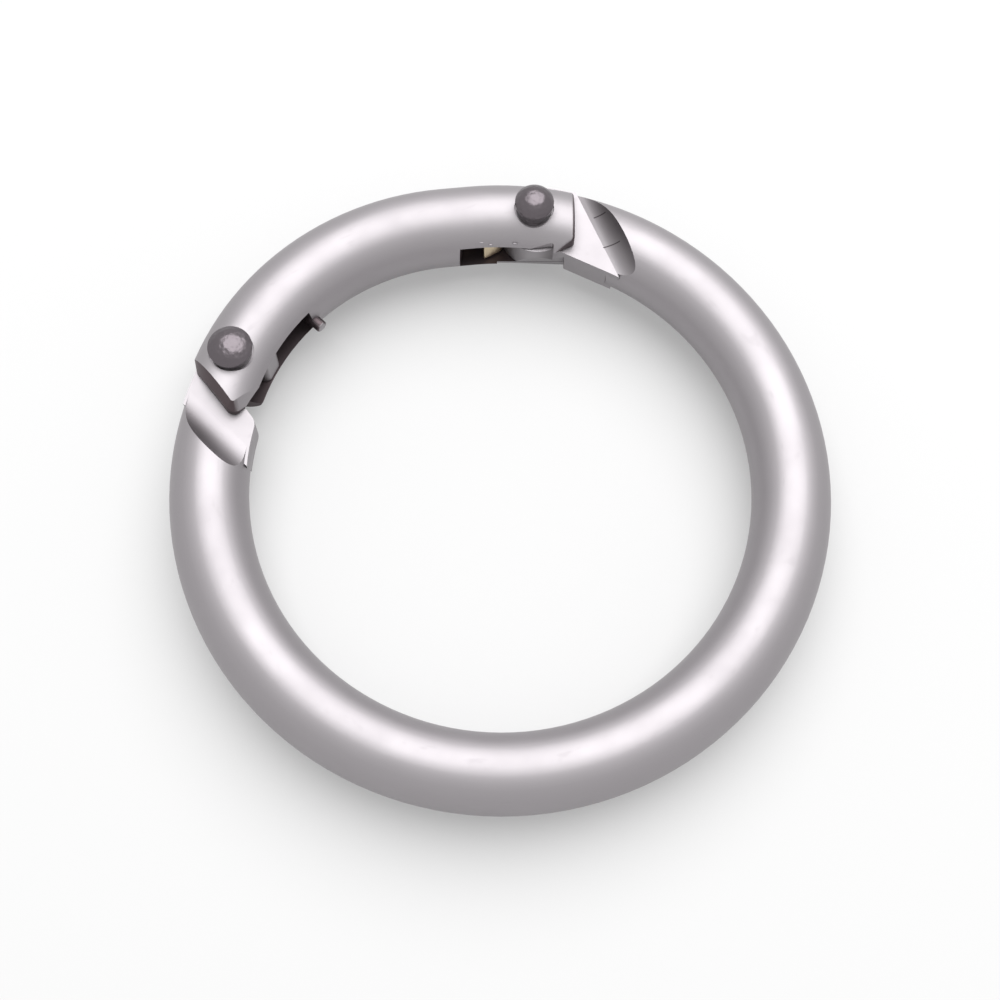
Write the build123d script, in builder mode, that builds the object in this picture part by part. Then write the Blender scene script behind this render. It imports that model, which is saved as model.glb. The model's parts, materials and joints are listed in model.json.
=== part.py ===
from build123d import *
import os
from math import atan2, cos, degrees, hypot, radians, sin, sqrt, tan

# Spring gate ring: an open ring of round cast bar, closed by a curved gate that turns inward
# about a rivet at one end. A rivet at its other end enters a hook of the ring.
# Millimetres and degrees. The ring lies in the XY plane with its centre at the origin.
# Angles are counted from +X towards +Y; the gate closes the upper left of the ring.

# The ring
inside_diameter = 32.0
bar_diameter = 5.0
tongue_thickness = 2.2      # the flattened ends that reach into the gate
tongue_inset = 0.08         # their square edges stand this far inside the bar's sides
hinge_taper_angle = 64.5    # from here on the hinge tongue's inner edge runs straight to its eye
hinge_ramp_length = 1.3     # from the tongue's flat up to the round bar
latch_ramp_length = 2.0
hinge_ramp_hollow = 0.26    # how far a ramp dips below a straight slope
latch_ramp_hollow = 0.36
hinge_square_run = 0.0      # the tongues' square edges run this far past the feet of the ramps
latch_square_run = 0.9
step_back = 0.3             # and end this much earlier below the middle
bar_back = 0.6              # the round bar's sides start this far before the ramps
eye_offset = 0.25           # the hinge tongue's eye is cast this far off the rivet, towards the bar
hinge_tilt = 41.0           # the ramps lean this far from square to the bar
latch_tilt = 34.5
hinge_root = 3.4            # the ramps' places along the bar, counted from the rivets
latch_root = 4.8

# The gate
gate_growth = 0.1           # the gate's bar is this much larger in radius than the ring's
hinge_angle = 83.3          # place of the hinge rivet on the ring's centre line
latch_angle = 154.8         # place of the latch rivet
latch_offset = 0.55         # the latch rivet stands this far outside the centre line
gate_run = 4.1              # the gate follows the ring's circle this far past the hinge
gate_straight = 1.9         # then runs straight for this length, and then curves to the latch
hinge_slot_depth = 4.55     # the forked ends are this deep, past each rivet
latch_slot_depth = 5.5
slot_clearance = 0.1        # between a tongue and each cheek of the fork
hinge_end_reach = 2.68      # the gate's end face stands this far past the hinge rivet
hinge_face_lean = 6.7       # the end face leans this far from square to the bar
hinge_face_run = 2.0        # the end face ends this far to the inner side of the rivet
hinge_corner_turn = 65.0    # where its outline turns back by this much
hinge_corner_round = 0.3
latch_end_reach = 2.46      # the latch end reaches this far past its rivet
latch_face_lean = 26.3
latch_face_run = 3.4
latch_corner_turn = 100.0
latch_corner_round = 0.55
low_face_run = -0.3         # the lower cheek's inner corner is cut back further
low_corner_turn = 38.0
lip_notch_start = -0.45     # the fork's upper lip is notched below the hinge rivet, from here
lip_notch_end = 1.3         # to here past the rivet
lip_notch_shallow = 2.32    # distance of the notch from the rivet where it starts
lip_notch_deep = 2.11       # and where it ends
lip_notch_round = 0.15
ground_line = 2.04          # a flat is ground across the hinge's lower inner edge, this far
ground_lean = 17.0          # from the rivet at the tongue's underside, leaning outward below
ground_back = 2.4           # it runs from here on the gate's side of the rivet
ground_front = 2.05         # to here on the other side
hinge_edge_round = 0.2      # rounding of the edges of the gate's hinge end
latch_edge_bevel = 0.5      # bevel of the edges of its latch end
swing_clearance = 0.06      # between the swinging gate's corner and the foot of the hinge ramp
latch_foot_overlap = 0.5    # its other corner swings over the shallow foot of the latch ramp
nub_radius = 0.4            # small cast nub beside the latch slot
nub_stand = 0.65            # how far it stands out of the bar
nub_round = 0.15

# The rivets
shank_diameter = 1.9
hinge_head_diameter = 2.55
hinge_head_stand = 1.5      # height of the head above the gate's bar
hinge_foot_stand = 0.75     # its lower head is lower
hinge_dome_height = 0.7
latch_head_diameter = 2.85
latch_head_stand = 1.05
latch_foot_stand = 1.05
latch_dome_height = 0.6
head_taper = 0.12           # the heads are this much smaller in radius at their seats
head_seat_clearance = 0.03
seat_depth = 0.05           # the heads sit on flats sunk this far into the bar
rivet_fit = 0.02            # shank in the gate's cheeks
running_clearance = 0.05    # shank in the ring's hinge eye

# The latch hook
notch_clearance = 0.1       # latch shank in the hook's notch
nose_wall = 1.6             # thickness of the hook in front of the shank
notch_sweep = 30.0          # the notch follows the latch rivet's path this far
mouth_round = 0.9           # rounding where the rivet enters the notch
nose_round = 0.45

# The gate spring, a hairpin of spring steel strip between the eye's flat and the slot's closed end
eye_flat = 1.8              # distance of the flat from the rivet
spring_width = 1.9
spring_thickness = 0.25
spring_clearance = 0.05     # to the flat and to the slot's closed end
spring_bend_side = 1.75     # the bend reaches this far to the outer side of the rivet
spring_leg = 1.5            # both legs reach this far to the inner side
spring_tip = 1.3            # the leg on the flat ends in a short turned-up tip
spring_tip_turn = 55.0

# Values worked out from the sizes above
bar_radius = bar_diameter / 2
ring_radius = inside_diameter / 2 + bar_radius
gate_radius = bar_radius + gate_growth
half_tongue = tongue_thickness / 2
half_slot = half_tongue + slot_clearance
half_width = bar_radius - tongue_inset
shank_radius = shank_diameter / 2
notch_radius = shank_radius + notch_clearance
reach_out = 3 * bar_diameter    # cutters run this far past what they cut


def polar(radius, angle):
    return (radius * cos(radians(angle)), radius * sin(radians(angle)))


def along(arc_length):
    """Angle that an arc length on the ring's centre line covers."""
    return degrees(arc_length / ring_radius)


def shift(point, angle, distance):
    return (point[0] + distance * cos(radians(angle)), point[1] + distance * sin(radians(angle)))


def distance_between(first, second):
    return hypot(second[0] - first[0], second[1] - first[1])


def upright_plane(point, facing):
    """Vertical plane whose local x points along facing and whose local y is up."""
    x_way = (cos(radians(facing)), sin(radians(facing)), 0)
    z_way = (sin(radians(facing)), -cos(radians(facing)), 0)
    return Plane(origin=(point[0], point[1], 0), x_dir=x_way, z_dir=z_way)


def section_plane(angle):
    """Plane square to the ring's centre line, for the round sections that are swept."""
    origin = (*polar(ring_radius, angle), 0)
    return Plane(origin=origin, x_dir=(*polar(1, angle), 0), z_dir=(*polar(1, angle + 90), 0))


def circles_meet(first, first_radius, second, second_radius):
    """Where two circles meet: the meeting point to the left of the line from first to second."""
    gap = distance_between(first, second)
    toward = degrees(atan2(second[1] - first[1], second[0] - first[0]))
    run = (gap**2 + first_radius**2 - second_radius**2) / (2 * gap)
    rise = sqrt(first_radius**2 - run**2)
    return shift(shift(first, toward, run), toward + 90, rise)


hinge_at = polar(ring_radius, hinge_angle)
latch_at = polar(ring_radius + latch_offset, latch_angle)
latch_reach = distance_between(hinge_at, latch_at)
latch_bearing = degrees(atan2(latch_at[1] - hinge_at[1], latch_at[0] - hinge_at[0])) % 360

# The gate's centre line: along the ring, straight, then one arc that passes the latch rivet
run_end_angle = hinge_angle + along(gate_run)
run_end = polar(ring_radius, run_end_angle)
arm_heading = run_end_angle + 90
arm_start = shift(run_end, arm_heading, gate_straight)
arm_chord = distance_between(arm_start, latch_at)
arm_turn = degrees(atan2(latch_at[1] - arm_start[1], latch_at[0] - arm_start[0])) % 360 - arm_heading
arm_radius = arm_chord / (2 * sin(radians(arm_turn)))
arm_centre = shift(arm_start, arm_heading + 90, arm_radius)
gate_start_angle = hinge_angle - along(2 * bar_diameter)
arm_sweep = 2 * arm_turn + degrees(2 * bar_diameter / arm_radius)

# End faces of the gate: the way each faces and a point on it
hinge_facing = hinge_angle - 90 + hinge_face_lean
hinge_face = shift(hinge_at, hinge_facing, hinge_end_reach)
latch_facing = latch_angle + 90 - latch_face_lean
latch_face = shift(latch_at, latch_facing, latch_end_reach)

# The ramps' feet are placed by the farthest corners of the swinging gate
hinge_corner_reach = hypot(hinge_end_reach, hinge_face_run)
latch_corner = shift(latch_face, latch_facing + 90, -gate_radius)
latch_corner_reach = distance_between(hinge_at, latch_corner)
hinge_shoulder_facing = hinge_angle - along(hinge_root) - 90 + hinge_tilt
hinge_shoulder = shift(hinge_at, hinge_shoulder_facing, hinge_corner_reach + swing_clearance)
latch_shoulder_facing = latch_angle + along(latch_root) + 90 - latch_tilt
latch_shoulder = shift(hinge_at, latch_shoulder_facing, latch_corner_reach - latch_foot_overlap)

# The latch hook: how far its front and its notch's walls lie from the hinge, and its corners
nose_reach = latch_reach - notch_radius - nose_wall
mouth_reach = arm_radius - sqrt(gate_radius**2 - half_slot**2) + slot_clearance
tongue_inner = ring_radius - half_width
tongue_outer = ring_radius + half_width
heel_corner = circles_meet((0, 0), tongue_inner, hinge_at, latch_reach + notch_radius)
mouth_corner = circles_meet(arm_centre, mouth_reach, hinge_at, latch_reach - notch_radius)
tip_corner = circles_meet(arm_centre, mouth_reach, hinge_at, nose_reach)
back_corner = circles_meet((0, 0), tongue_outer, hinge_at, nose_reach)

# The way from the hinge to its slot's closed end, and the place of the latch slot's closed end
slot_way = hinge_angle + 90
latch_slot_angle = latch_angle - along(latch_slot_depth)

# Route of the hairpin spring, seen from the hinge rivet with x towards the slot's closed end
leg_at_flat = eye_flat + spring_clearance + spring_thickness / 2
leg_at_end = hinge_slot_depth - spring_clearance - spring_thickness / 2
bend_radius = (leg_at_end - leg_at_flat) / 2
bend_start = spring_thickness / 2 - spring_bend_side + bend_radius
tip_end = shift((leg_at_flat, spring_leg), 90 - spring_tip_turn, spring_tip)

os.makedirs("parts", exist_ok=True)


def ramp_profile(ramp_length, hollow, side):
    """Face above the tongue's flat and the hollow ramp, and the bar's end, to be cut away."""
    rise = bar_radius - half_tongue
    slope = hypot(ramp_length, rise)
    dip_x = ramp_length / 2 + hollow * rise / slope
    dip_y = half_tongue + rise / 2 - hollow * ramp_length / slope
    top = 2 * bar_radius
    with BuildLine() as outline:
        Polyline((-reach_out, 0), (-bar_back, 0), (-bar_back, side * half_tongue), (0, side * half_tongue))
        ThreePointArc((0, side * half_tongue), (dip_x, side * dip_y), (ramp_length, side * bar_radius))
        Polyline(
            (ramp_length, side * bar_radius),
            (ramp_length + rise, side * top),
            (-reach_out, side * top),
            (-reach_out, 0),
        )
    make_face(outline.edges())


def band(inner, outer, start, end):
    """Part of a flat ring about the origin, between two angles."""
    with BuildLine() as outline:
        CenterArc((0, 0), inner, start, end - start)
        Line(polar(inner, end), polar(outer, end))
        CenterArc((0, 0), outer, end, start - end)
        Line(polar(outer, start), polar(inner, start))
    make_face(outline.edges())


def faces_near(faces, centre):
    return faces.filter_by(lambda face: (face.center() - Vector(*centre)).length < bar_diameter)


def beyond(point, facing):
    """Large square on the far side of an upright face, seen from above."""
    with Locations(Location(shift(point, facing, reach_out / 2), facing)):
        Rectangle(reach_out, 2 * reach_out, mode=Mode.SUBTRACT)


def ground_profile():
    """What the flat ground across the hinge's lower inner edge takes off, seen along the flat."""
    lean = tan(radians(ground_lean))
    Polygon((ground_line + tongue_thickness * lean, half_tongue),
            (ground_line - (bar_diameter - half_tongue) * lean, -bar_diameter),
            (bar_diameter, -bar_diameter), (bar_diameter, half_tongue), align=None)


# Plan of the hinge tongue: it ends in an eye about the rivet, with a flat for the spring
with BuildSketch() as hinge_plan:
    band(tongue_inner, tongue_outer, hinge_angle - along(2 * bar_diameter), hinge_angle)
    with Locations(Location(polar(tongue_inner, hinge_taper_angle), hinge_taper_angle)):
        Rectangle(reach_out, reach_out, align=(Align.MAX, Align.MIN), mode=Mode.SUBTRACT)
    with Locations(shift(hinge_at, slot_way, -eye_offset)):
        Circle(half_width)
    beyond(shift(hinge_at, slot_way, eye_flat), slot_way)

# The hook's nose ends just inside the gate's mouth: what is cut off its inner side
with BuildSketch() as nose_trim:
    with Locations(arm_centre):
        Circle(mouth_reach)
    with Locations(hinge_at):
        Circle(latch_reach, mode=Mode.INTERSECT)

# Plan of the latch tongue: its front is an arc about the hinge, so that the gate can pass it
with BuildSketch() as latch_plan:
    reach = along(2 * bar_diameter)
    band(tongue_inner, tongue_outer, latch_angle - reach, latch_angle + reach)
    with Locations(hinge_at):
        Circle(nose_reach, mode=Mode.SUBTRACT)
    add(nose_trim.sketch, mode=Mode.SUBTRACT)

# The open ring, one casting: round bar, ramps, hinge tongue with its eye, latch hook
with BuildPart() as ring_body:
    with BuildLine():
        CenterArc((0, 0), ring_radius, latch_angle, 360 - latch_angle + hinge_angle)
    with BuildSketch(section_plane(latch_angle)):
        Circle(bar_radius)
    sweep()
    for shoulder, facing, ramp_length, hollow in (
        (hinge_shoulder, hinge_shoulder_facing, hinge_ramp_length, hinge_ramp_hollow),
        (latch_shoulder, latch_shoulder_facing, latch_ramp_length, latch_ramp_hollow),
    ):
        for side in (1, -1):
            with BuildSketch(upright_plane(shoulder, facing)):
                ramp_profile(ramp_length, hollow, side)
            extrude(amount=2 * bar_diameter, both=True, mode=Mode.SUBTRACT)
    for plan, shoulder, facing, square_run in (
        (hinge_plan, hinge_shoulder, hinge_shoulder_facing, hinge_square_run),
        (latch_plan, latch_shoulder, latch_shoulder_facing, latch_square_run),
    ):
        for side, run in ((1, square_run), (-1, square_run - step_back)):
            with BuildSketch():
                add(plan.sketch)
                beyond(shift(shoulder, facing, run), facing)
            extrude(amount=side * half_tongue)
    with Locations(hinge_at):
        Hole(shank_radius + running_clearance)
    with BuildSketch(upright_plane(shift(hinge_at, hinge_facing, ground_front), hinge_facing - 90)):
        ground_profile()
    extrude(amount=ground_front + ground_back, mode=Mode.SUBTRACT)
    with BuildSketch():
        notch_line = CenterArc(hinge_at, latch_reach, latch_bearing, notch_sweep, mode=Mode.PRIVATE)
        SlotArc(notch_line, 2 * notch_radius)
    extrude(amount=bar_diameter, both=True, mode=Mode.SUBTRACT)
    corners = [(heel_corner, mouth_round), (mouth_corner, nose_round), (tip_corner, nose_round),
               (back_corner, nose_round)]
    for corner, rounding in corners:
        upright = ring_body.edges().filter_by(Axis.Z)
        fillet(upright.sort_by_distance((*corner, 0))[0], rounding)
ring_body.part.label = "ring_body"
export_step(ring_body.part, "parts/ring_body.step")


def gate_end(face, facing, inner_side, face_run, turn, rounding):
    """Everything past an end face of the gate and past its cut inner corner, seen from above."""
    corner = (0, inner_side * face_run)
    back = shift(corner, inner_side * (90 + turn), bar_diameter)
    with BuildLine(Plane(Location(face, facing))) as outline:
        FilletPolyline((0, -inner_side * reach_out), corner, back, radius=rounding)
        Polyline(
            back,
            (back[0], inner_side * reach_out),
            (reach_out, inner_side * reach_out),
            (reach_out, -inner_side * reach_out),
            (0, -inner_side * reach_out),
        )
    make_face(outline.edges())


def seat_height(head_radius):
    """Height of the flat that a rivet head sits on, just under the bar's round surface."""
    return sqrt(gate_radius**2 - (head_radius + head_seat_clearance)**2) - seat_depth


hinge_stands = (hinge_head_stand, hinge_foot_stand)
latch_stands = (latch_head_stand, latch_foot_stand)
rivets = {
    "hinge_rivet": (hinge_at, hinge_head_diameter / 2, hinge_stands, hinge_dome_height),
    "latch_rivet": (latch_at, latch_head_diameter / 2, latch_stands, latch_dome_height),
}

# The gate, one casting: a curved bar, forked at both ends, with seats for the rivet heads
with BuildPart() as gate:
    with BuildLine():
        CenterArc((0, 0), ring_radius, gate_start_angle, run_end_angle - gate_start_angle)
        Line(run_end, arm_start)
        JernArc(arm_start, polar(1, arm_heading), arm_radius, arm_sweep)
    with BuildSketch(section_plane(gate_start_angle)):
        Circle(gate_radius)
    sweep()
    with BuildSketch():
        gate_end(hinge_face, hinge_facing, -1, hinge_face_run, hinge_corner_turn, hinge_corner_round)
        gate_end(latch_face, latch_facing, 1, latch_face_run, latch_corner_turn, latch_corner_round)
    extrude(amount=bar_diameter, both=True, mode=Mode.SUBTRACT)
    end_faces = gate.faces().filter_by(GeomType.PLANE)
    chamfer(faces_near(end_faces, latch_at).edges(), latch_edge_bevel)
    fillet(faces_near(end_faces, hinge_at).edges(), hinge_edge_round)
    with BuildSketch():
        gate_end(latch_face, latch_facing, 1, low_face_run, low_corner_turn, latch_corner_round)
    extrude(amount=-bar_diameter, mode=Mode.SUBTRACT)
    with BuildSketch():
        with Locations(Location(shift(hinge_at, slot_way, hinge_slot_depth), slot_way)):
            Rectangle(reach_out, reach_out, align=(Align.MAX, Align.CENTER))
        band(inside_diameter / 4, inside_diameter, latch_slot_angle, latch_angle + along(2 * bar_diameter))
    extrude(amount=half_slot, both=True, mode=Mode.SUBTRACT)
    for centre, head_radius, *_ in rivets.values():
        with Locations(centre):
            Hole(shank_radius + rivet_fit)
        for side in (1, -1):
            with BuildSketch(Plane.XY.offset(side * seat_height(head_radius))):
                with Locations(centre):
                    Circle(head_radius + head_seat_clearance)
            extrude(amount=side * bar_diameter, mode=Mode.SUBTRACT)
    with BuildSketch(upright_plane(shift(hinge_at, hinge_facing, 2 * hinge_end_reach), hinge_facing - 90)):
        ground_profile()
    extrude(amount=2 * hinge_end_reach + ground_back, mode=Mode.SUBTRACT)
    with BuildSketch(Plane(Location(hinge_at, hinge_facing))):
        with BuildLine():
            FilletPolyline((lip_notch_start, -bar_diameter), (lip_notch_start, -lip_notch_shallow),
                           (lip_notch_end, -lip_notch_deep), (lip_notch_end, -bar_diameter),
                           radius=lip_notch_round, close=True)
        make_face()
    extrude(amount=bar_diameter, mode=Mode.SUBTRACT)
    nub_bearing = arm_heading - 90 + 2 * arm_turn - degrees((latch_slot_depth + nub_radius) / arm_radius)
    nub_tip = shift(arm_centre, nub_bearing, arm_radius - gate_radius - nub_stand)
    with BuildSketch(Plane(origin=(*nub_tip, 0), z_dir=(*polar(1, nub_bearing), 0))):
        Circle(nub_radius)
    extrude(amount=nub_stand + nub_radius)
    fillet(gate.edges().filter_by(GeomType.CIRCLE).sort_by_distance((*nub_tip, 0))[0], nub_round)
gate.part.label = "gate"
export_step(gate.part, "parts/gate.step")

# The two rivets: a straight shank and two domed heads, formed on the gate's cheeks
for name, (centre, head_radius, stands, dome_height) in rivets.items():
    seat = seat_height(head_radius)
    cap_radius = (head_radius**2 + dome_height**2) / (2 * dome_height)
    with BuildPart() as rivet:
        for side, stand in zip((1, -1), stands):
            head_top = gate_radius + stand
            rim = head_top - dome_height
            cap_rise = sqrt(cap_radius**2 - head_radius**2 / 4) - cap_radius
            with BuildSketch(upright_plane(centre, 0)):
                with BuildLine():
                    ThreePointArc((0, side * head_top), (head_radius / 2, side * (head_top + cap_rise)),
                                  (head_radius, side * rim))
                    Polyline((head_radius, side * rim), (head_radius - head_taper, side * seat),
                             (shank_radius, side * seat), (shank_radius, 0), (0, 0), (0, side * head_top))
                make_face()
            revolve(axis=Axis((*centre, 0), (0, 0, 1)))
    rivet.part.label = name
    export_step(rivet.part, f"parts/{name}.step")

# The gate spring, a hairpin: one leg on the slot's closed end, the other on the eye's flat
with BuildPart() as gate_spring:
    with BuildSketch(Plane(Location(hinge_at, slot_way))):
        with BuildLine() as hairpin:
            Line((leg_at_end, spring_leg), (leg_at_end, bend_start))
            JernArc((leg_at_end, bend_start), (0, -1), bend_radius, -180)
            FilletPolyline((leg_at_flat, bend_start), (leg_at_flat, spring_leg), tip_end,
                           radius=2 * spring_thickness)
        trace(hairpin.edges(), spring_thickness)
    extrude(amount=spring_width / 2, both=True)
gate_spring.part.label = "gate_spring"
export_step(gate_spring.part, "parts/gate_spring.step")
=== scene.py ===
import json

import bmesh
import bpy
import numpy as np
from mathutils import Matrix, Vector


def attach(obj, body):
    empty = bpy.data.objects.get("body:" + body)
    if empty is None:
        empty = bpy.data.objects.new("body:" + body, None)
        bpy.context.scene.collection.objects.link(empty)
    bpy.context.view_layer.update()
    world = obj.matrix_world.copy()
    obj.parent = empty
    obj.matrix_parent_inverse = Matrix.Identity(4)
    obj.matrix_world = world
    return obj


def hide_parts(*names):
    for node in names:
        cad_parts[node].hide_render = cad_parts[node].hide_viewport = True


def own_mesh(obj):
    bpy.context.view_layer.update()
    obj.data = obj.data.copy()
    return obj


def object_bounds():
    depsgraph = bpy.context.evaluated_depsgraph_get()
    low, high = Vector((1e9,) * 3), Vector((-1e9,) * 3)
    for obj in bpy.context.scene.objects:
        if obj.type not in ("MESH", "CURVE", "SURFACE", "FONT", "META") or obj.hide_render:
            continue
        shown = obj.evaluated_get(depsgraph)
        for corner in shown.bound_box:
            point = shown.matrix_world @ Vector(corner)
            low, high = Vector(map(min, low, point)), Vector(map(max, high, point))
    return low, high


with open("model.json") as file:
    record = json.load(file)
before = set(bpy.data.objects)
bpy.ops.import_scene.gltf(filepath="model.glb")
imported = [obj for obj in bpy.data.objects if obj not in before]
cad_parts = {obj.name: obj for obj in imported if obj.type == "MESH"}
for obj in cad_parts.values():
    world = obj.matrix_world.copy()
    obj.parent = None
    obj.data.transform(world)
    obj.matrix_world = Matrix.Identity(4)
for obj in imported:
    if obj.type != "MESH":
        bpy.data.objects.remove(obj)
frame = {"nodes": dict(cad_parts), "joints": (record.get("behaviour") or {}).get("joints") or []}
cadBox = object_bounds()
mm = 0.001
print("spring gate ring: frame loaded")

# Where the gate turns, from the frame's own joint
gateJoint = [joint for joint in frame["joints"] if joint["name"] == "gate_hinge"][0]
hingeAt = np.array(gateJoint["pos_m"])
hingeAngle = np.arctan2(hingeAt[1], hingeAt[0])


# A smooth shaded piece made from whole arrays, riding on a body.
def newPiece(name, points, faces, body):
    mesh = bpy.data.meshes.new(name)
    mesh.from_pydata(points.tolist(), [], faces)
    shell = bmesh.new()
    shell.from_mesh(mesh)
    bmesh.ops.recalc_face_normals(shell, faces=shell.faces)    # all faces point outwards
    shell.to_mesh(mesh)
    shell.free()
    mesh.polygons.foreach_set("use_smooth", np.ones(len(mesh.polygons), dtype=bool))
    piece = bpy.data.objects.new(name, mesh)
    bpy.context.scene.collection.objects.link(piece)
    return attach(piece, body)


# Quads between rings of points, one ring after the other, with a face on each end.
def tubeFaces(rings, around):
    ring, step = np.meshgrid(np.arange(rings - 1), np.arange(around), indexing="ij")
    beside = ring * around + (step + 1) % around
    here = ring * around + step
    faces = np.stack([here, beside, beside + around, here + around], axis=-1).reshape(-1, 4).tolist()
    return faces + [list(range(around)), list(range((rings - 1) * around, rings * around))]


# The gate spring, a bent strip between the slot's closed end and the flat on the hinge eye

gateSpring = {
    "thickness": 0.25,
    "width": 1.9,
    "legAtFlat": 1.975,      # both legs, counted from the hinge towards the slot's closed end
    "legAtEnd": 4.375,
    "bendStart": -0.425,     # the legs meet the bend here, counted towards the ring's centre
    "legReach": 1.5,
    "tipTurn": 55.0,         # degrees
    "tipRadius": 0.5,
    "tipLength": 1.3,
    "cornerPower": 6.0,      # 2 is an ellipse, larger is squarer
    "pressedTo": 0.75,       # its width between the legs with the gate fully open
}


def hairpinLine(spring):
    # leg(s) = (legAtEnd, s), bend(a) = centre + radius (cos a, sin a), leg(s) = (legAtFlat, s),
    # tip bend(a) = tipCentre + tipRadius (cos a, sin a), then straight on
    bendRadius = (spring["legAtEnd"] - spring["legAtFlat"]) / 2
    bendCentre = np.array([spring["legAtFlat"] + bendRadius, spring["bendStart"]])
    turn = np.radians(spring["tipTurn"])
    tipStart = spring["legReach"] - spring["tipRadius"] * np.tan(turn / 2)
    tipCentre = np.array([spring["legAtFlat"] + spring["tipRadius"], tipStart])
    firstLeg = np.linspace(spring["legReach"], spring["bendStart"], 8, endpoint=False)
    bend = np.linspace(0, -np.pi, 28, endpoint=False)
    secondLeg = np.linspace(spring["bendStart"], tipStart, 8, endpoint=False)
    tipBend = np.linspace(np.pi, np.pi - turn, 8)
    tipEnd = np.array([spring["legAtFlat"], spring["legReach"]])
    tipEnd = tipEnd + spring["tipLength"] * np.array([np.sin(turn), np.cos(turn)])
    return np.vstack([
        np.stack([np.full_like(firstLeg, spring["legAtEnd"]), firstLeg], axis=1),
        bendCentre + bendRadius * np.stack([np.cos(bend), np.sin(bend)], axis=1),
        np.stack([np.full_like(secondLeg, spring["legAtFlat"]), secondLeg], axis=1),
        tipCentre + spring["tipRadius"] * np.stack([np.cos(tipBend), np.sin(tipBend)], axis=1),
        tipEnd,
    ])


# From the hinge's own plan, x towards the slot's closed end and y to the ring's centre, in metres.
def fromHinge(points):
    slotWay = hingeAngle + np.pi / 2
    xWay = np.array([np.cos(slotWay), np.sin(slotWay), 0])
    yWay = np.array([-np.sin(slotWay), np.cos(slotWay), 0])
    upWay = np.array([0, 0, 1])
    return hingeAt + mm * (points[..., :1] * xWay + points[..., 1:2] * yWay + points[..., 2:] * upWay)


def makeGateSpring(spring):
    # strip(s, v) = line(s) + normal(s) t/2 squared(cos v) + up w/2 squared(sin v),
    # where squared(c) = sign(c) |c|^(2/power) gives a rectangle with round corners
    line = hairpinLine(spring)
    along = np.gradient(line, axis=0)
    along /= np.linalg.norm(along, axis=1, keepdims=True)
    normal = np.stack([-along[:, 1], along[:, 0]], axis=1)
    angle = np.linspace(0, 2 * np.pi, 24, endpoint=False)
    power = 2 / spring["cornerPower"]
    across = spring["thickness"] / 2 * np.sign(np.cos(angle)) * np.abs(np.cos(angle)) ** power
    up = spring["width"] / 2 * np.sign(np.sin(angle)) * np.abs(np.sin(angle)) ** power
    flat = line[:, None, :] + normal[:, None, :] * across[None, :, None]
    height = np.broadcast_to(up[None, :, None], flat.shape[:2] + (1,))
    points = fromHinge(np.concatenate([flat, height], axis=2)).reshape(-1, 3)
    piece = newPiece("hairpin_spring", points, tubeFaces(len(line), len(angle)), "gate")
    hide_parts("gate_spring")
    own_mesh(piece)
    return piece


springPiece = makeGateSpring(gateSpring)
print("spring gate ring: gate spring bent")

# Small burrs that the casting has along the upper lip of the hinge slot

lipBurrs = {
    "places": np.array([
        [-1.34, 16.36, 1.50], [-0.68, 16.28, 1.38], [0.91, 16.30, 1.53], [1.51, 16.30, 1.24]]),
    "halfLengths": np.array([0.19, 0.15, 0.17, 0.12]),
    "halfHeight": 0.05,
}


def makeLipBurrs(burrs):
    # burr(k, u, v) = place(k) + (length(k) cos v, height sin v cos u, height sin v sin u)
    down = np.linspace(0.02, np.pi - 0.02, 9)[None, :, None]
    around = np.linspace(0, 2 * np.pi, 14, endpoint=False)[None, None, :]
    half = burrs["halfLengths"][:, None, None]
    x = half * np.cos(down) + 0 * around
    y = burrs["halfHeight"] * np.sin(down) * np.cos(around) + 0 * half
    z = burrs["halfHeight"] * np.sin(down) * np.sin(around) + 0 * half
    points = burrs["places"][:, None, None, :] + np.stack([x, y, z], axis=-1)
    count, rings, ringPoints = x.shape
    one = tubeFaces(rings, ringPoints)
    faces = [[index + k * rings * ringPoints for index in face] for k in range(count) for face in one]
    piece = newPiece("slot_lip_burrs", mm * points.reshape(-1, 3), faces, "gate")
    return piece


burrPiece = makeLipBurrs(lipBurrs)
print("spring gate ring: lip burrs placed")

# Finishes


def addNode(tree, kind, **settings):
    node = tree.nodes.new(kind)
    for name, value in settings.items():
        setattr(node, name, value)
    return node


# A math node; each side is a number or another node's output.
def mathNode(tree, operation, first, second):
    node = addNode(tree, "ShaderNodeMath", operation=operation)
    for socket, value in zip(node.inputs, (first, second)):
        if isinstance(value, (int, float)):
            socket.default_value = value
        else:
            tree.links.new(value, socket)
    return node.outputs[0]


def noiseNode(tree, vector, scale, detail, roughness):
    node = addNode(tree, "ShaderNodeTexNoise")
    node.inputs["Detail"].default_value = detail
    node.inputs["Roughness"].default_value = roughness
    tree.links.new(vector, node.inputs["Vector"])
    tree.links.new(scale, node.inputs["Scale"])
    return node.outputs["Fac"]


# A shader node group with vector and number inputs and value outputs.
def newGroup(name, numbers, outputs, vectors=("Vector",)):
    group = bpy.data.node_groups.new(name, "ShaderNodeTree")
    for label in vectors:
        group.interface.new_socket(label, in_out="INPUT", socket_type="NodeSocketVector")
    for label, value in numbers.items():
        number = group.interface.new_socket(label, in_out="INPUT", socket_type="NodeSocketFloat")
        number.default_value = value
    for label in outputs:
        group.interface.new_socket(label, in_out="OUTPUT", socket_type="NodeSocketFloat")
    return group, addNode(group, "NodeGroupInput"), addNode(group, "NodeGroupOutput")


castGrain = {
    "sizes": {"Grain": 5200.0, "Waves": 620.0, "Patches": 260.0},    # marks per metre
    "grainShare": 0.35,                # of the fine grain in the height
    "streakStretch": (1.0, 1.0, 14.0),
    "streaksFrom": (0.62, 0.72),       # only the strongest streaks count as scuffs
}
hammering = {
    "sizes": {"Dents": 3200.0, "Grain": 7500.0},
    "dentSoftness": 0.7,
    "grainShare": 0.3,
}


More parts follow.
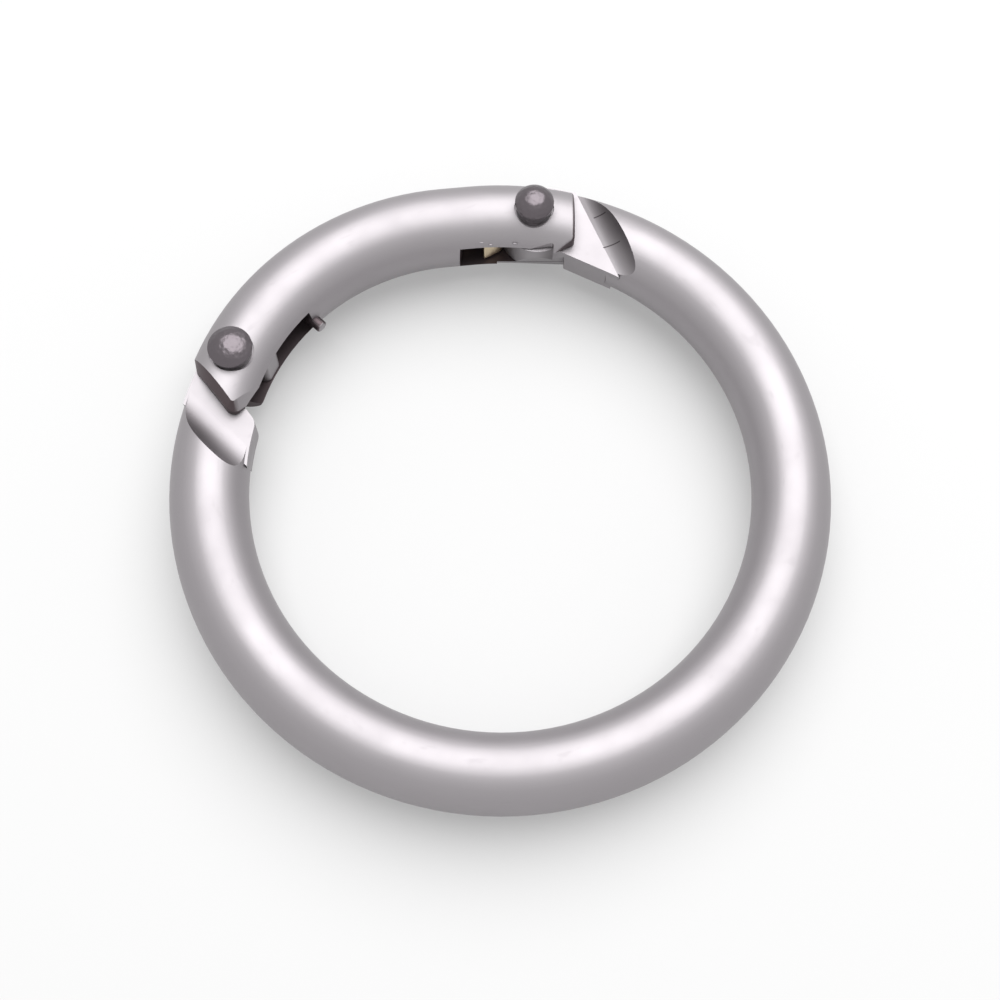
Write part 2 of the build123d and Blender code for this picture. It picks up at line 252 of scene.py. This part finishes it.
def makeCastSkin(skin):
    # height = fine grain + soft waves, mottle = broad patches, scuff = thin streaks across Z
    group, inputs, outputs = newGroup("cast skin", skin["sizes"], ["Height", "Mottle", "Scuff"])
    vector = inputs.outputs["Vector"]
    grain = noiseNode(group, vector, inputs.outputs["Grain"], 2.0, 0.5)
    waves = noiseNode(group, vector, inputs.outputs["Waves"], 1.0, 0.4)
    height = mathNode(group, "ADD", mathNode(group, "MULTIPLY", grain, skin["grainShare"]), waves)
    patches = noiseNode(group, vector, inputs.outputs["Patches"], 3.0, 0.55)
    stretched = addNode(group, "ShaderNodeMapping")
    stretched.inputs["Scale"].default_value = skin["streakStretch"]
    group.links.new(vector, stretched.inputs["Vector"])
    streaks = noiseNode(group, stretched.outputs["Vector"], inputs.outputs["Waves"], 2.0, 0.6)
    scuff = addNode(group, "ShaderNodeMapRange")
    scuff.inputs["From Min"].default_value, scuff.inputs["From Max"].default_value = skin["streaksFrom"]
    group.links.new(streaks, scuff.inputs["Value"])
    group.links.new(height, outputs.inputs["Height"])
    group.links.new(patches, outputs.inputs["Mottle"])
    group.links.new(scuff.outputs["Result"], outputs.inputs["Scuff"])
    return group


def makeHammerMarks(marks):
    # height = distance to the nearest of scattered points, softened, with a little grain
    group, inputs, outputs = newGroup("hammer marks", marks["sizes"], ["Height"])
    vector = inputs.outputs["Vector"]
    dents = addNode(group, "ShaderNodeTexVoronoi", feature="SMOOTH_F1")
    dents.inputs["Smoothness"].default_value = marks["dentSoftness"]
    group.links.new(vector, dents.inputs["Vector"])
    group.links.new(inputs.outputs["Dents"], dents.inputs["Scale"])
    grain = noiseNode(group, vector, inputs.outputs["Grain"], 2.0, 0.5)
    fine = mathNode(group, "MULTIPLY", grain, marks["grainShare"])
    height = mathNode(group, "ADD", dents.outputs["Distance"], fine)
    group.links.new(height, outputs.inputs["Height"])
    return group


# A vector math node; its outputs are Vector and Value.
def vectorNode(tree, operation, first, second=None):
    node = addNode(tree, "ShaderNodeVectorMath", operation=operation)
    tree.links.new(first, node.inputs[0])
    if second is not None:
        tree.links.new(second, node.inputs[1])
    return node


# A value stretched so that low becomes 0 and high becomes 1, with soft ends.
def rampNode(tree, value, low, high):
    node = addNode(tree, "ShaderNodeMapRange", interpolation_type="SMOOTHSTEP")
    for socket, limit in (("From Min", low), ("From Max", high)):
        if isinstance(limit, float):
            node.inputs[socket].default_value = limit
        else:
            tree.links.new(limit, node.inputs[socket])
    tree.links.new(value, node.inputs["Value"])
    return node.outputs["Result"]


def makeCutFaces():
    # the two masks place the painted shade of cut faces and slot walls
    # cut = |normal . t| with t = (-y, x, 0) / r, which is 0 all over the round bar,
    # wall = 1 on level faces that lie nearer to the middle plane than the wall height
    group, inputs, outputs = newGroup(
        "cut faces", {"Wall height": 0.0, "Least": 0.2, "Most": 0.6}, ["Cut", "Wall"],
        ("Vector", "Normal"))
    place = addNode(group, "ShaderNodeSeparateXYZ")
    group.links.new(inputs.outputs["Vector"], place.inputs[0])
    along = addNode(group, "ShaderNodeCombineXYZ")
    group.links.new(mathNode(group, "MULTIPLY", place.outputs["Y"], -1.0), along.inputs["X"])
    group.links.new(place.outputs["X"], along.inputs["Y"])
    unit = vectorNode(group, "NORMALIZE", along.outputs[0])
    facing = vectorNode(group, "DOT_PRODUCT", inputs.outputs["Normal"], unit.outputs["Vector"])
    facing = mathNode(group, "ABSOLUTE", facing.outputs["Value"], 0.0)
    cut = rampNode(group, facing, inputs.outputs["Least"], inputs.outputs["Most"])
    look = addNode(group, "ShaderNodeSeparateXYZ")
    group.links.new(inputs.outputs["Normal"], look.inputs[0])
    level = mathNode(group, "GREATER_THAN", mathNode(group, "ABSOLUTE", look.outputs["Z"], 0.0), 0.9)
    height = mathNode(group, "ABSOLUTE", place.outputs["Z"], 0.0)
    inside = mathNode(group, "LESS_THAN", height, inputs.outputs["Wall height"])
    group.links.new(cut, outputs.inputs["Cut"])
    group.links.new(mathNode(group, "MULTIPLY", level, inside), outputs.inputs["Wall"])
    return group


def makeCreaseMark():
    # the mark places the painted shade of a crease
    # mark = 1 on the upper side within the width of the line from start to end, seen from above:
    # |p - start - h (end - start)| with h = (p - start).(end - start) / |end - start|^2 kept in 0 to 1
    group, inputs, outputs = newGroup(
        "crease mark", {"Width": 0.00005}, ["Mark"], ("Vector", "Start", "End"))
    run = vectorNode(group, "SUBTRACT", inputs.outputs["End"], inputs.outputs["Start"])
    plan = vectorNode(group, "MULTIPLY", inputs.outputs["Vector"])
    plan.inputs[1].default_value = (1.0, 1.0, 0.0)
    off = vectorNode(group, "SUBTRACT", plan.outputs["Vector"], inputs.outputs["Start"])
    across = vectorNode(group, "DOT_PRODUCT", off.outputs["Vector"], run.outputs["Vector"])
    square = vectorNode(group, "DOT_PRODUCT", run.outputs["Vector"], run.outputs["Vector"])
    share = mathNode(group, "DIVIDE", across.outputs["Value"], square.outputs["Value"])
    share = mathNode(group, "MINIMUM", mathNode(group, "MAXIMUM", share, 0.0), 1.0)
    foot = vectorNode(group, "SCALE", run.outputs["Vector"])
    group.links.new(share, foot.inputs["Scale"])
    rest = vectorNode(group, "SUBTRACT", off.outputs["Vector"], foot.outputs["Vector"])
    far = vectorNode(group, "LENGTH", rest.outputs["Vector"])
    reach = mathNode(group, "DIVIDE", far.outputs["Value"], inputs.outputs["Width"])
    place = addNode(group, "ShaderNodeSeparateXYZ")
    group.links.new(inputs.outputs["Vector"], place.inputs[0])
    upper = mathNode(group, "GREATER_THAN", place.outputs["Z"], 0.0)
    near = mathNode(group, "SUBTRACT", 1.0, rampNode(group, reach, 0.3, 1.0))
    group.links.new(mathNode(group, "MULTIPLY", near, upper), outputs.inputs["Mark"])
    return group


castSkin = makeCastSkin(castGrain)
hammerMarks = makeHammerMarks(hammering)
cutFaces = makeCutFaces()
creaseMark = makeCreaseMark()

satinCasting = {
    "colour": (0.33, 0.312, 0.325, 1.0),
    "mottle": (0.3, 0.7),            # the part of the mottle that counts
    "roughness": (0.46, 0.54),       # least and most, over the mottle
    "scuffShare": 0.25,
    "bump": 0.05,
    "bumpDepth": 0.03 * mm,
}
ringCuts = {
    "cutShadeColour": (0.21, 0.195, 0.203, 1.0),   # painted shade: the ramps darker than the bar, graded with how far a face turns along the ring
    "cutFrom": (0.08, 0.60),                  # how far a face looks along the ring, least and most
    "wallHeight": 0.0,
    "creases": [                              # start and end of each, as seen from above
        [[6.20, 18.39, 0.0], [6.88, 18.50, 0.0]],
        [[6.80, 16.26, 0.0], [7.79, 16.39, 0.0]]],
    "creaseWidth": 0.06,
    # painted shade in the creases of the ramps
    "creaseShadeColour": (0.08, 0.07, 0.075, 1.0),
}
gateCuts = {
    # painted shade on the gate's end faces and on the walls inside its slots
    "cutShadeColour": (0.10, 0.08, 0.085, 1.0),
    "cutFrom": (0.20, 0.60),
    "wallHeight": 1.3,                        # the slots' walls are at 1.2
    "creases": [],
}
darkRivet = {
    "colour": (0.13, 0.115, 0.125, 1.0),
    "roughness": 0.30,
    "bump": 0.55,
    "bumpDepth": 0.06 * mm,
}
springSteel = {
    "colour": (0.66, 0.55, 0.38, 1.0),
    "roughness": 0.33,
}


def newMetal(name, colour):
    material = bpy.data.materials.new(name)
    material.use_nodes = True
    shader = material.node_tree.nodes["Principled BSDF"]
    shader.inputs["Base Color"].default_value = colour
    shader.inputs["Metallic"].default_value = 1.0
    return material, material.node_tree, shader


# The group in a material, on the object's own coordinates.
def placeGroup(tree, group, turn=(0, 0, 0)):
    coordinates = addNode(tree, "ShaderNodeTexCoord")
    placed = addNode(tree, "ShaderNodeGroup", node_tree=group)
    turned = addNode(tree, "ShaderNodeMapping")
    turned.inputs["Rotation"].default_value = turn
    tree.links.new(coordinates.outputs["Object"], turned.inputs["Vector"])
    tree.links.new(turned.outputs["Vector"], placed.inputs["Vector"])
    return placed


def bumpFrom(tree, shader, height, strength, depth):
    bump = addNode(tree, "ShaderNodeBump")
    bump.inputs["Strength"].default_value = strength
    bump.inputs["Distance"].default_value = depth
    tree.links.new(height, bump.inputs["Height"])
    tree.links.new(bump.outputs["Normal"], shader.inputs["Normal"])


# Base colour = the casting's colour, the cut colour on cut faces and slot walls, and the crease colour
# in a crease; the cut colour and the crease colour are painted shade.
def shadeCuts(tree, shader, colour, cuts):
    coordinates = addNode(tree, "ShaderNodeTexCoord")
    faces = addNode(tree, "ShaderNodeGroup", node_tree=cutFaces)
    faces.inputs["Wall height"].default_value = cuts["wallHeight"] * mm
    faces.inputs["Least"].default_value, faces.inputs["Most"].default_value = cuts["cutFrom"]
    tree.links.new(coordinates.outputs["Object"], faces.inputs["Vector"])
    tree.links.new(coordinates.outputs["Normal"], faces.inputs["Normal"])
    paintedCutShade = mathNode(tree, "MAXIMUM", faces.outputs["Cut"], faces.outputs["Wall"])
    shade = addNode(tree, "ShaderNodeMix", data_type="RGBA")
    tree.links.new(paintedCutShade, shade.inputs[0])
    shade.inputs[6].default_value = colour
    shade.inputs[7].default_value = cuts["cutShadeColour"]
    result = shade.outputs[2]
    for start, end in cuts["creases"]:
        crease = addNode(tree, "ShaderNodeGroup", node_tree=creaseMark)
        crease.inputs["Start"].default_value = [mm * value for value in start]
        crease.inputs["End"].default_value = [mm * value for value in end]
        crease.inputs["Width"].default_value = cuts["creaseWidth"] * mm
        tree.links.new(coordinates.outputs["Object"], crease.inputs["Vector"])
        dark = addNode(tree, "ShaderNodeMix", data_type="RGBA")
        tree.links.new(crease.outputs["Mark"], dark.inputs[0])
        tree.links.new(result, dark.inputs[6])
        dark.inputs[7].default_value = cuts["creaseShadeColour"]
        result = dark.outputs[2]
    tree.links.new(result, shader.inputs["Base Color"])


def makeSatinCasting(name, finish, cuts, turn):
    material, tree, shader = newMetal(name, finish["colour"])
    shadeCuts(tree, shader, finish["colour"], cuts)
    skin = placeGroup(tree, castSkin, turn)
    spread = addNode(tree, "ShaderNodeMapRange")
    spread.inputs["From Min"].default_value, spread.inputs["From Max"].default_value = finish["mottle"]
    spread.inputs["To Min"].default_value, spread.inputs["To Max"].default_value = finish["roughness"]
    scuffed = mathNode(tree, "MULTIPLY", skin.outputs["Scuff"], finish["scuffShare"])
    rough = mathNode(tree, "ADD", skin.outputs["Mottle"], scuffed)
    tree.links.new(rough, spread.inputs["Value"])
    tree.links.new(spread.outputs["Result"], shader.inputs["Roughness"])
    bumpFrom(tree, shader, skin.outputs["Height"], finish["bump"], finish["bumpDepth"])
    return material


def makeDarkRivet(finish):
    material, tree, shader = newMetal("dark hammered rivet", finish["colour"])
    shader.inputs["Roughness"].default_value = finish["roughness"]
    marks = placeGroup(tree, hammerMarks)
    bumpFrom(tree, shader, marks.outputs["Height"], finish["bump"], finish["bumpDepth"])
    return material


def makeSpringSteel(finish):
    material, tree, shader = newMetal("spring steel", finish["colour"])
    shader.inputs["Roughness"].default_value = finish["roughness"]
    return material


ringMetal = makeSatinCasting("satin ring casting", satinCasting, ringCuts, (0, 0, 0))
gateMetal = makeSatinCasting("satin gate casting", satinCasting, gateCuts, (0.4, 0.2, 1.1))
rivetMetal = makeDarkRivet(darkRivet)
springMetal = makeSpringSteel(springSteel)


def dress(piece, material):
    piece.data.materials.clear()
    piece.data.materials.append(material)


dress(frame["nodes"]["ring_body"], ringMetal)
dress(frame["nodes"]["gate"], gateMetal)
dress(frame["nodes"]["hinge_rivet"], rivetMetal)
dress(frame["nodes"]["latch_rivet"], rivetMetal)
dress(frame["nodes"]["gate_spring"], springMetal)
dress(springPiece, springMetal)
dress(burrPiece, gateMetal)
print("spring gate ring: finishes on")

# Floor, light and camera

studio = {
    "floorHalf": 1.5,
    "floorColour": (0.48, 0.48, 0.48, 1.0),
    "floorLift": 0.26,                             # brings the lit floor up to white where it is seen
    "roomLight": 0.60,                             # light of the room on the floor
    "lampWay": (0.104, 0.425, 0.899),              # from the ring to the middle of the soft light
    "lampDistance": 0.5,
    "lampSpread": 35.0,                            # degrees from its middle to its rim
    "lampBrightness": 3.20,
}


# 1 for the camera and for what metal and glass show, 0 for light on the floor.
def seenRays(tree):
    rays = addNode(tree, "ShaderNodeLightPath")
    seen = mathNode(tree, "MAXIMUM", rays.outputs["Is Camera Ray"], rays.outputs["Is Glossy Ray"])
    return mathNode(tree, "MAXIMUM", seen, rays.outputs["Is Transmission Ray"])


def makeFloor(setup):
    corners = setup["floorHalf"] * np.array([[-1, -1, 0], [1, -1, 0], [1, 1, 0], [-1, 1, 0]], dtype=float)
    corners[:, 2] = cadBox[0][2]
    mesh = bpy.data.meshes.new("floor")
    mesh.from_pydata(corners.tolist(), [], [[0, 1, 2, 3]])
    floor = bpy.data.objects.new("floor", mesh)
    bpy.context.scene.collection.objects.link(floor)
    material = bpy.data.materials.new("pale floor")
    material.use_nodes = True
    tree = material.node_tree
    tree.nodes.clear()
    matt = addNode(tree, "ShaderNodeBsdfDiffuse")
    matt.inputs["Color"].default_value = setup["floorColour"]
    lift = addNode(tree, "ShaderNodeEmission")
    lifted = mathNode(tree, "MULTIPLY", seenRays(tree), setup["floorLift"])
    tree.links.new(lifted, lift.inputs["Strength"])
    both = addNode(tree, "ShaderNodeAddShader")
    out = addNode(tree, "ShaderNodeOutputMaterial")
    tree.links.new(matt.outputs[0], both.inputs[0])
    tree.links.new(lift.outputs[0], both.inputs[1])
    tree.links.new(both.outputs[0], out.inputs["Surface"])
    dress(floor, material)


def makeRoom(setup):
    world = bpy.data.worlds.new("studio")
    bpy.context.scene.world = world
    world.use_nodes = True
    tree = world.node_tree
    tree.nodes.clear()
    plain = addNode(tree, "ShaderNodeBackground")
    plain.inputs["Color"].default_value = (1.0, 1.0, 1.0, 1.0)
    strength = addNode(tree, "ShaderNodeMapRange")    # 1 where it is seen, the room's light otherwise
    strength.inputs["To Min"].default_value = setup["roomLight"]
    out = addNode(tree, "ShaderNodeOutputWorld")
    tree.links.new(seenRays(tree), strength.inputs["Value"])
    tree.links.new(strength.outputs["Result"], plain.inputs["Strength"])
    tree.links.new(plain.outputs[0], out.inputs["Surface"])


def makeLamp(setup):
    # a disk of radius distance tan(spread); its power is pi brightness times its area
    way = np.array(setup["lampWay"]) / np.linalg.norm(setup["lampWay"])
    radius = setup["lampDistance"] * np.tan(np.radians(setup["lampSpread"]))
    lamp = bpy.data.lights.new("soft light", "AREA")
    lamp.shape = "DISK"
    lamp.size = 2 * radius
    lamp.energy = np.pi * setup["lampBrightness"] * np.pi * radius ** 2
    holder = bpy.data.objects.new("soft light", lamp)
    holder.location = setup["lampDistance"] * way
    holder.rotation_euler = (-holder.location).to_track_quat("-Z", "Y").to_euler()
    bpy.context.scene.collection.objects.link(holder)


makeFloor(studio)
makeRoom(studio)
makeLamp(studio)

viewpoint = {
    "place": (-1.351, -35.843, 102.170),    # mm, over the near side of the ring
    "tilt": 0.3282,                         # radians from straight down, towards +Y
    "lean": -0.0127,
    "lens": 61.2,
}
cameraData = bpy.data.cameras.new("camera")
cameraData.lens = viewpoint["lens"]
cameraData.sensor_width = 36.0
cameraData.clip_start = 0.005
camera = bpy.data.objects.new("camera", cameraData)
camera.location = [coordinate * mm for coordinate in viewpoint["place"]]
camera.rotation_euler = (viewpoint["tilt"], viewpoint["lean"], 0)
bpy.context.scene.collection.objects.link(camera)
bpy.context.scene.camera = camera
bpy.context.scene.view_settings.view_transform = "Standard"
print("spring gate ring: floor, light and camera set")
